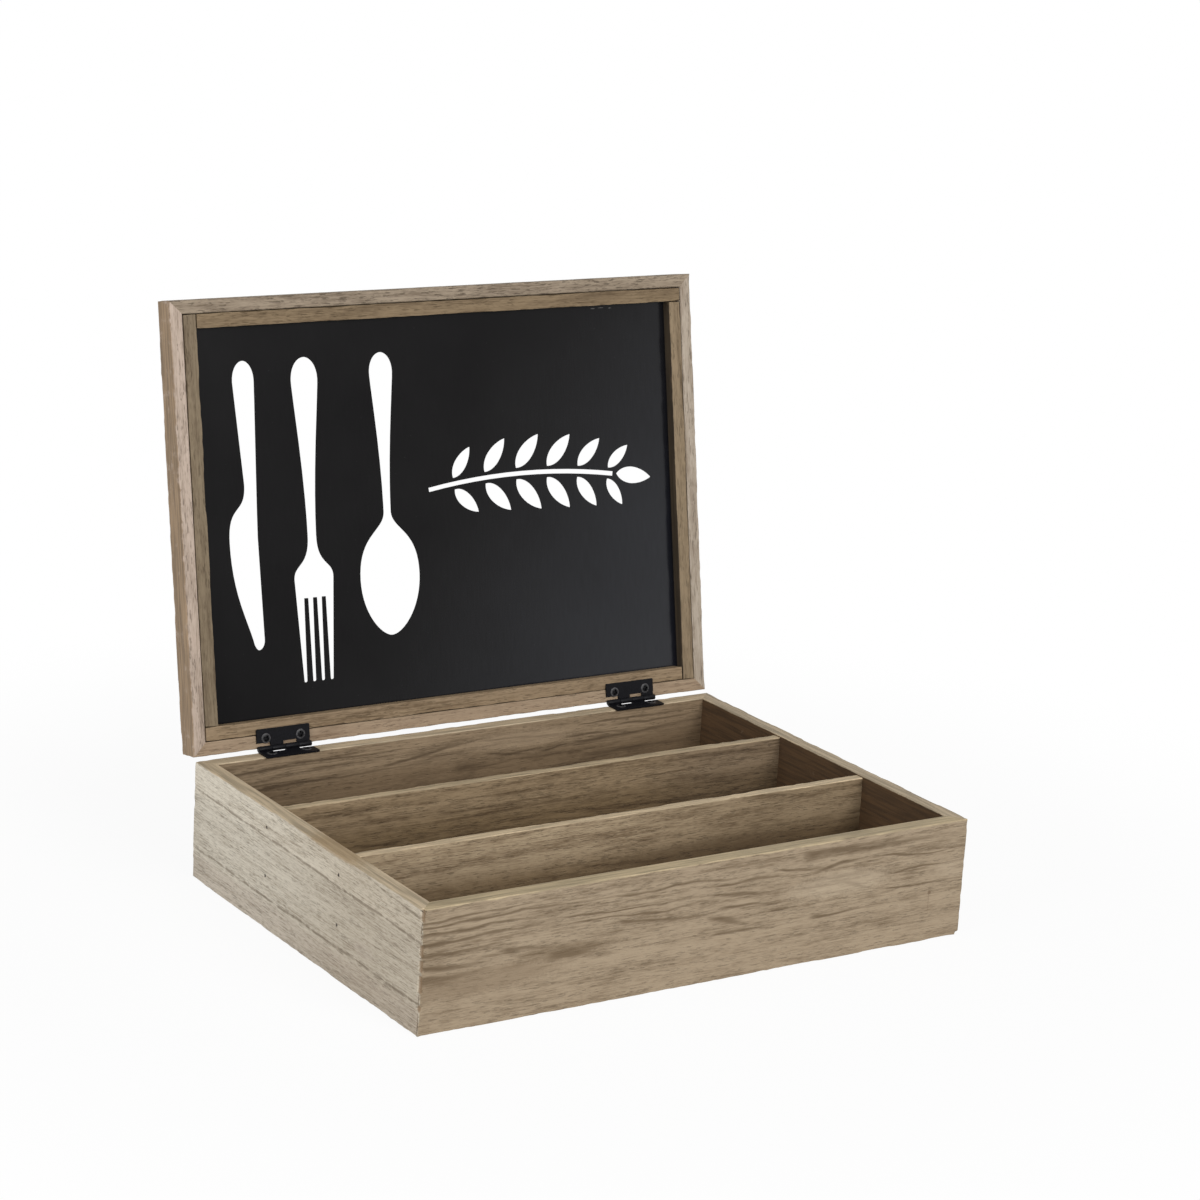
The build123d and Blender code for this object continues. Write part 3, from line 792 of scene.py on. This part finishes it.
for board in ("front_wall", "right_wall", "back_wall", "left_wall"):
    wornBoard(board, boxTurn, boxLow, boxHigh, "box")
for board, front, rear in (("divider_1", -42.5, -36.5), ("divider_2", 36.5, 42.5)):
    wornBoard(board, boxTurn, (None, front, None), (None, rear, dividerTop), "box")
lidLow = (boxLow[0], lidBase, lidBack)
lidHigh = (boxHigh[0], lidBase + boxHigh[1] - boxLow[1], lidFace)
sides = ("rear", "right", "front", "left")
for side in sides:
    wornBoard(f"lid_{side}_rail", lidTurn, lidLow, lidHigh, "lid")
for board in (f"lid_{side}_strip" for side in sides):
    corners = [lidTurn @ vert.co / mm for vert in nodes[board].data.vertices]
    low = [min(corner[axis] for corner in corners) for axis in range(3)]
    high = [max(corner[axis] for corner in corners) for axis in range(3)]
    wornBoard(board, lidTurn, (low[0], low[1], None), high, "lid", strip=True)
assign("floor_panel", boardMaterials["floor_panel"])
print("boards worn")


# Black lacquer on the sheet: its gloss coat grows towards the low right corner, in faint upright streaks.
# Where the coat is glossiest the colour turns bluish, a painted tint of the sheen.
sheetLooks = {
    "colour": (15, 14, 15),
    "paintedSheenColour": (15, 17, 24),
    "dustColour": (62, 62, 64),
    "dustStrength": 0.3,
    "glossStart": -215,  # in mm along a slanting line to the low right
    "glossEnd": 130,
    "glossSlant": -0.7,
    "glossLeast": 0.062,
    "glossMost": 0.255,
    "cloudGloss": 0.048,
    "streakSize": (0.8, 14, 1),
    "coatRoughness": 0.2,
    "coatIor": 2.2,
    "relief": 0.00001,
    "scuffs": [  # spots as on the boards
        (104.5, 321.3, 1.6, 0.35, 0.5, (108, 106, 104)),
        (110.2, 321.5, 2.2, 0.3, 0.5, (108, 106, 104)),
        (116.4, 321.1, 1.2, 0.3, 0.5, (108, 106, 104)),
    ],
}


def sheetMaterial():
    look = sheetLooks
    material, tree, shader = startMaterial("blackLacquer")
    place = boardPlace(tree, right, upLid)
    cloud = noiseAt(tree, place, (60, 60, 60), 3.0)
    speck = noiseAt(tree, place, (0.6, 0.6, 0.6), 1.0)
    dust = soften(tree, noiseAt(tree, place, (1.1, 1.1, 1.1), 0.0), 0.84, 0.9)
    spot = parts(tree, place)
    slant = times(tree, spot[1], look["glossSlant"], spot[0])
    gloss = soften(tree, slant, look["glossStart"], look["glossEnd"], look["glossLeast"], look["glossMost"])
    streak = noiseAt(tree, place, look["streakSize"])
    gloss = times(tree, gloss, soften(tree, streak, 0.3, 0.7, 0.95, 1.05))
    gloss = minus(tree, gloss, look["cloudGloss"] / 2)
    gloss = times(tree, cloud, look["cloudGloss"], gloss)
    dusty = times(tree, dust, look["dustStrength"])
    # Painted sheen: the lacquer's colour turns bluish where the coat is glossiest
    paintedSheenShare = soften(tree, gloss, 0.07, 0.26)
    colour = blendColours(tree, paintedSheenShare, tint(*look["colour"]), tint(*look["paintedSheenColour"]))
    colour = blendColours(tree, dusty, colour, tint(*look["dustColour"]))
    colour = markSpots(tree, place, colour, look["scuffs"])
    rough = times(tree, cloud, 0.12, times(tree, speck, 0.08, 0.4))
    feed(tree, shader, {
        "Base Color": colour, "Roughness": rough, "Specular IOR Level": 0.0,
        "Coat Weight": gloss, "Coat Roughness": look["coatRoughness"], "Coat IOR": look["coatIor"],
    })
    addRelief(tree, shader, speck, look["relief"])
    return material


# Metals: colour, roughness, size of the clouds in mm, shine, and the colour of a painted highlight ring on a
# screw head's rim
metalLooks = {
    "hingePaint": {"colour": (13, 13, 16), "rough": 0.42, "clouds": 0.9, "shine": 0.1},
    "screwPaint": {"colour": (14, 14, 16), "rough": 0.4, "clouds": 0.6, "shine": 0.12, "rimHighlight": (82, 81, 82)},
    "pinPaint": {"colour": (16, 16, 17), "rough": 0.4, "clouds": 0.6, "shine": 0.3},
    "bradSteel": {"colour": (54, 50, 46), "rough": 0.5, "clouds": 0.4, "shine": 0.3},
}


def metalMaterial(name, look):
    material, tree, shader = startMaterial(name)
    coordinates = addNode(tree, "ShaderNodeTexCoord")
    place = vectorCalc(tree, "MULTIPLY", coordinates.outputs["Object"], perMetre)
    cloud = noiseAt(tree, place, (look["clouds"],) * 3, 4.0)
    pale = shaded(look["colour"], 1.5)
    shade = blendColours(tree, soften(tree, cloud, 0.35, 0.7), tint(*look["colour"]), pale)
    # A painted highlight: a lighter ring round the screw head's rim
    if "rimHighlight" in look:
        wearAndHighlight = addNode(tree, "ShaderNodeAttribute", attribute_name="rimHighlight").outputs["Fac"]
        wearAndHighlight = times(tree, wearAndHighlight, soften(tree, cloud, 0.36, 0.56, 0.25, 1.0))
        shade = blendColours(tree, wearAndHighlight, shade, tint(*look["rimHighlight"]))
    feed(tree, shader, {
        "Base Color": shade,
        "Roughness": times(tree, cloud, 0.2, look["rough"] - 0.1),
        "Metallic": 0.0,
        "Specular IOR Level": look["shine"],
    })
    addRelief(tree, shader, cloud, 0.00004)
    return material


lacquer = sheetMaterial()
metals = {name: metalMaterial(name, look) for name, look in metalLooks.items()}
assign("pierced_sheet", lacquer)
for hand in ("left", "right"):
    assign(hand + "_hinge_pin", metals["pinPaint"])
    assign(hand + "_brads", metals["bradSteel"])
print("sheet and metals made")


def applyModifiers(piece, sharpFrom):
    mesh = bpy.data.meshes.new_from_object(piece.evaluated_get(bpy.context.evaluated_depsgraph_get()))
    piece.modifiers.clear()
    piece.data = mesh
    mesh.shade_smooth()
    mesh.set_sharp_from_angle(angle=math.radians(sharpFrom))
    return mesh


# Hinge leaves: the CAD plates with their sharp edges eased, so that they catch the light; mm and degrees
leafLooks = {"ease": 0.12, "segments": 2, "sharpAngle": 38, "smoothBelow": 40, "flatAbove": 6}


def easedLeaf(hand, body):
    nodeName = f"{hand}_hinge_{body}_leaf"
    bm = cleanCopy(nodeName)
    mesh = bpy.data.meshes.new(nodeName + "_eased")
    bm.to_mesh(mesh)
    bm.free()
    leaf = addPiece(nodeName + "_eased", mesh)
    ease = leaf.modifiers.new("ease", "BEVEL")
    ease.width = leafLooks["ease"] * mm
    ease.segments = leafLooks["segments"]
    ease.limit_method = "ANGLE"
    ease.angle_limit = math.radians(leafLooks["sharpAngle"])
    finished = applyModifiers(leaf, leafLooks["smoothBelow"])
    for face in finished.polygons:
        face.use_smooth = face.area < leafLooks["flatAbove"] * mm * mm
    finished.materials.clear()
    finished.materials.append(metals["hingePaint"])
    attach(leaf, body)
    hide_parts(nodeName)


for hand in ("left", "right"):
    for body in ("box", "lid"):
        easedLeaf(hand, body)
print("hinge leaves eased")

# Hinge screws: a domed countersunk head with a cross recess, set at every hole and each turned its own way
screwSizes = {  # the tree's inputs, in mm
    "Head Radius": 2.8,
    "Dome": 0.5,
    "Sink": 1.0,
    "Shank Radius": 1.25,
    "Length": 11.0,
    "Recess Long": 3.2,
    "Recess Wide": 1.1,
    "Recess Deep": 1.2,
    # Rim Start is where the painted highlight ring on the head starts
    "Rim Start": 0.62,  # share of the head's radius, squared
    "Turn Seed": 4,
}
screwPlaces = {"fromMiddle": 115.3, "pitch": 21.5, "reach": 5.7, "below": 0.9, "smoothBelow": 32}
# Where the head starts, the tip ends and the top starts, as shares of the height; how fast the tip widens
screwShares = {"head": 0.75, "tip": 0.17, "top": 0.999, "tipSlope": 5.9}
pinMiddle = Vector((0, 124.5, 68.4)) * mm
lidNormal = right.cross(upLid)


def makeScrewTree():
    tree = bpy.data.node_groups.new("crossScrews", "GeometryNodeTree")
    tree.interface.new_socket("Geometry", in_out="INPUT", socket_type="NodeSocketGeometry")
    for label, value in screwSizes.items():
        kind = "NodeSocketInt" if isinstance(value, int) else "NodeSocketFloat"
        tree.interface.new_socket(label, in_out="INPUT", socket_type=kind)
    tree.interface.new_socket("Geometry", in_out="OUTPUT", socket_type="NodeSocketGeometry")
    given = addNode(tree, "NodeGroupInput").outputs
    headFrom = screwShares["head"]

    def total(first, second, operation="ADD"):
        return calc(tree, operation, first, second)

    def scaled(first, second):
        return times(tree, first, second)

    def choose(where, inside, outside):
        return total(scaled(where, inside), scaled(total(1.0, where, "SUBTRACT"), outside))

    # The body is a cylinder of many rings, each with the height and radius that its share of the height gives
    body = addNode(tree, "GeometryNodeMeshCylinder", fill_type="TRIANGLE_FAN")
    feed(tree, body, {"Vertices": 40, "Side Segments": 12, "Fill Segments": 5, "Radius": 1.0, "Depth": 1.0})
    spot = parts(tree, addNode(tree, "GeometryNodeInputPosition").outputs[0])
    share = total(spot[2], 0.5)
    inHead = total(share, headFrom, "GREATER_THAN")
    inTip = total(share, screwShares["tip"], "LESS_THAN")
    onTop = total(share, screwShares["top"], "GREATER_THAN")

    def between(low, high, least, most):
        node = addNode(tree, "ShaderNodeMapRange")
        feed(tree, node, {"Value": share, "From Min": low, "From Max": high, "To Min": least, "To Max": most})
        return node.outputs[0]

    headBottom = scaled(given["Sink"], -1.0)
    coneRadius = between(headFrom, 1.0, given["Shank Radius"], given["Head Radius"])
    coneHeight = between(headFrom, 1.0, headBottom, 0.0)
    shankHeight = between(0.0, headFrom, scaled(given["Length"], -1.0), headBottom)
    tipRadius = scaled(scaled(share, screwShares["tipSlope"]), given["Shank Radius"])
    radius = choose(inHead, coneRadius, choose(inTip, tipRadius, given["Shank Radius"]))
    height = choose(inHead, coneHeight, shankHeight)
    outward = total(scaled(spot[0], spot[0]), scaled(spot[1], spot[1]))
    crown = scaled(scaled(total(1.0, outward, "SUBTRACT"), given["Dome"]), onTop)
    # The outer ring of the head's top is marked for a painted highlight
    rimHighlight = scaled(soften(tree, outward, total(given["Rim Start"], -0.2), given["Rim Start"]), onTop)
    marked = addNode(tree, "GeometryNodeStoreNamedAttribute", data_type="FLOAT", domain="POINT")
    feed(tree, marked, {"Geometry": body.outputs["Mesh"], "Name": "rimHighlight"})
    tree.links.new(rimHighlight, usable(marked.inputs, "Value"))
    shaped = addNode(tree, "GeometryNodeSetPosition")
    feed(tree, shaped, {
        "Geometry": marked.outputs[0],
        "Position": joinParts(tree, scaled(spot[0], radius), scaled(spot[1], radius), total(height, crown)),
    })

    # Two bars cut the recess
    cutters = addNode(tree, "GeometryNodeJoinGeometry")
    for turned in (False, True):
        bar = addNode(tree, "GeometryNodeMeshCube")
        long, wide = given["Recess Long"], given["Recess Wide"]
        sides = (wide, long) if turned else (long, wide)
        feed(tree, bar, {"Size": joinParts(tree, *sides, scaled(given["Recess Deep"], 2.0))})
        placed = addNode(tree, "GeometryNodeTransform")
        lift = joinParts(tree, 0.0, 0.0, given["Dome"])
        feed(tree, placed, {"Geometry": bar.outputs["Mesh"], "Translation": lift})
        tree.links.new(placed.outputs[0], cutters.inputs[0])
    cut = addNode(tree, "GeometryNodeMeshBoolean", operation="DIFFERENCE", solver="EXACT")
    cut.inputs["Self Intersection"].default_value = True
    feed(tree, cut, {"Mesh 1": shaped.outputs[0]})
    tree.links.new(cutters.outputs[0], cut.inputs["Mesh 2"])

    # One screw on every point, along its axis
    axis = addNode(tree, "GeometryNodeInputNamedAttribute", data_type="FLOAT_VECTOR")
    axis.inputs["Name"].default_value = "axis"
    turn = addNode(tree, "FunctionNodeRandomValue", data_type="FLOAT")
    usable(turn.inputs, "Min").default_value = 0.0
    usable(turn.inputs, "Max").default_value = math.pi / 2
    tree.links.new(given["Turn Seed"], usable(turn.inputs, "Seed"))
    spin = addNode(tree, "FunctionNodeEulerToRotation")
    feed(tree, spin, {0: joinParts(tree, 0.0, 0.0, usable(turn.outputs, "Value"))})
    align = addNode(tree, "FunctionNodeAlignRotationToVector", axis="Z")
    feed(tree, align, {"Rotation": spin.outputs[0], "Vector": usable(axis.outputs, "Attribute")})
    setOut = addNode(tree, "GeometryNodeInstanceOnPoints")
    feed(tree, setOut, {
        "Points": given["Geometry"], "Instance": cut.outputs[0], "Rotation": align.outputs[0],
        "Scale": (mm, mm, mm),
    })
    real = addNode(tree, "GeometryNodeRealizeInstances")
    feed(tree, real, {"Geometry": setOut.outputs[0]})
    painted = addNode(tree, "GeometryNodeSetMaterial")
    feed(tree, painted, {"Geometry": real.outputs[0], "Material": metals["screwPaint"]})
    leave = addNode(tree, "NodeGroupOutput")
    feed(tree, leave, {"Geometry": painted.outputs[0]})
    return tree


screwTree = makeScrewTree()


def setScrews(body, axis, hingeLine):
    mesh = bpy.data.meshes.new(body + "_screw_spots")
    spots = [
        hingeLine + right * (hand * screwPlaces["fromMiddle"] + side * screwPlaces["pitch"] / 2) * mm
        for hand in (-1, 1) for side in (-1, 1)
    ]
    mesh.from_pydata(spots, [], [])
    attribute = mesh.attributes.new("axis", "FLOAT_VECTOR", "POINT")
    for item in attribute.data:
        item.vector = axis
    screws = addPiece(body + "_cross_screws", mesh)
    modifier = screws.modifiers.new("screws", "NODES")
    modifier.node_group = screwTree
    for item in screwTree.interface.items_tree:
        if item.in_out == "INPUT" and item.name in screwSizes:
            modifier[item.identifier] = screwSizes[item.name]
    finished = applyModifiers(screws, screwPlaces["smoothBelow"])
    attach(screws, body)
    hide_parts(body + "_hinge_screws")
    print(body, "screws", len(finished.polygons), "faces")


reach = screwPlaces["reach"]
below = screwPlaces["below"]
setScrews("box", upward, pinMiddle + (rearward * -reach + upward * -below) * mm)
setScrews("lid", lidNormal, pinMiddle + (upLid * reach - lidNormal * below) * mm)
print("screws set")

# Floor, world and lamps
studio = {
    "keyPower": 48,
    "keyPlace": (0.4, -2.45, 1.35),
    "keySize": (1.4, 0.8),
    "fillPower": 27,
    "fillPlace": (-2.4, -0.4, 0.6),
    "fillSize": (1.6, 0.8),
    "aim": (0, 0, 0.08),
    "skyLevel": 0.38,
    "floorLevel": 0.9,
    "floorHalf": 6,
    "floorDrop": 0.0003,
    "floorGlow": 0.93,  # near the object, growing to 1 away from it, so that a shadow is left
    "floorNear": 0.28,
    "floorFar": 0.6,
}


def whiteForRays(tree):  # 1 where the camera, a mirror or glass looks straight at it
    rays = addNode(tree, "ShaderNodeLightPath")
    seen = calc(tree, "MAXIMUM", rays.outputs["Is Camera Ray"], rays.outputs["Is Glossy Ray"])
    return calc(tree, "MAXIMUM", seen, rays.outputs["Is Transmission Ray"])


def makeSky():
    world = bpy.data.worlds.new("studio")
    scene.world = world
    world.use_nodes = True
    tree = world.node_tree
    tree.nodes.clear()
    leave = addNode(tree, "ShaderNodeOutputWorld")
    sky = addNode(tree, "ShaderNodeBackground")
    strength = soften(tree, whiteForRays(tree), 0.0, 1.0, studio["skyLevel"], 1.0)
    feed(tree, sky, {"Color": (1, 1, 1, 1), "Strength": strength})
    tree.links.new(sky.outputs[0], leave.inputs["Surface"])


def makeFloor():
    bm = bmesh.new()
    bmesh.ops.create_grid(bm, x_segments=1, y_segments=1, size=studio["floorHalf"])
    bmesh.ops.translate(bm, verts=bm.verts, vec=(0, 0, -studio["floorDrop"]))
    mesh = bpy.data.meshes.new("floor")
    bm.to_mesh(mesh)
    bm.free()
    floor = addPiece("floor", mesh)
    material, tree, leave = emptyMaterial("paleFloor")
    matt = addNode(tree, "ShaderNodeBsdfDiffuse")
    feed(tree, matt, {"Color": (studio["floorLevel"],) * 3 + (1,)})
    glow = addNode(tree, "ShaderNodeEmission")
    feed(tree, glow, {"Strength": 1.0})
    mix = addNode(tree, "ShaderNodeMixShader")
    away = vectorCalc(tree, "LENGTH", addNode(tree, "ShaderNodeTexCoord").outputs["Object"])
    share = soften(tree, away, studio["floorNear"], studio["floorFar"], studio["floorGlow"], 1.0)
    share = times(tree, whiteForRays(tree), share)
    feed(tree, mix, {0: share, 1: matt.outputs[0], 2: glow.outputs[0]})
    tree.links.new(mix.outputs[0], leave.inputs["Surface"])
    mesh.materials.append(material)


def hangLamp(name):
    lamp = bpy.data.lights.new(name, "AREA")
    lamp.energy = studio[name + "Power"]
    lamp.shape = "RECTANGLE"
    lamp.size, lamp.size_y = studio[name + "Size"]
    holder = bpy.data.objects.new(name, lamp)
    holder.location = studio[name + "Place"]
    aim = Vector(studio["aim"]) - holder.location
    holder.rotation_euler = aim.to_track_quat("-Z", "Y").to_euler()
    scene.collection.objects.link(holder)


makeSky()
makeFloor()
hangLamp("key")
hangLamp("fill")
print("stage lit")
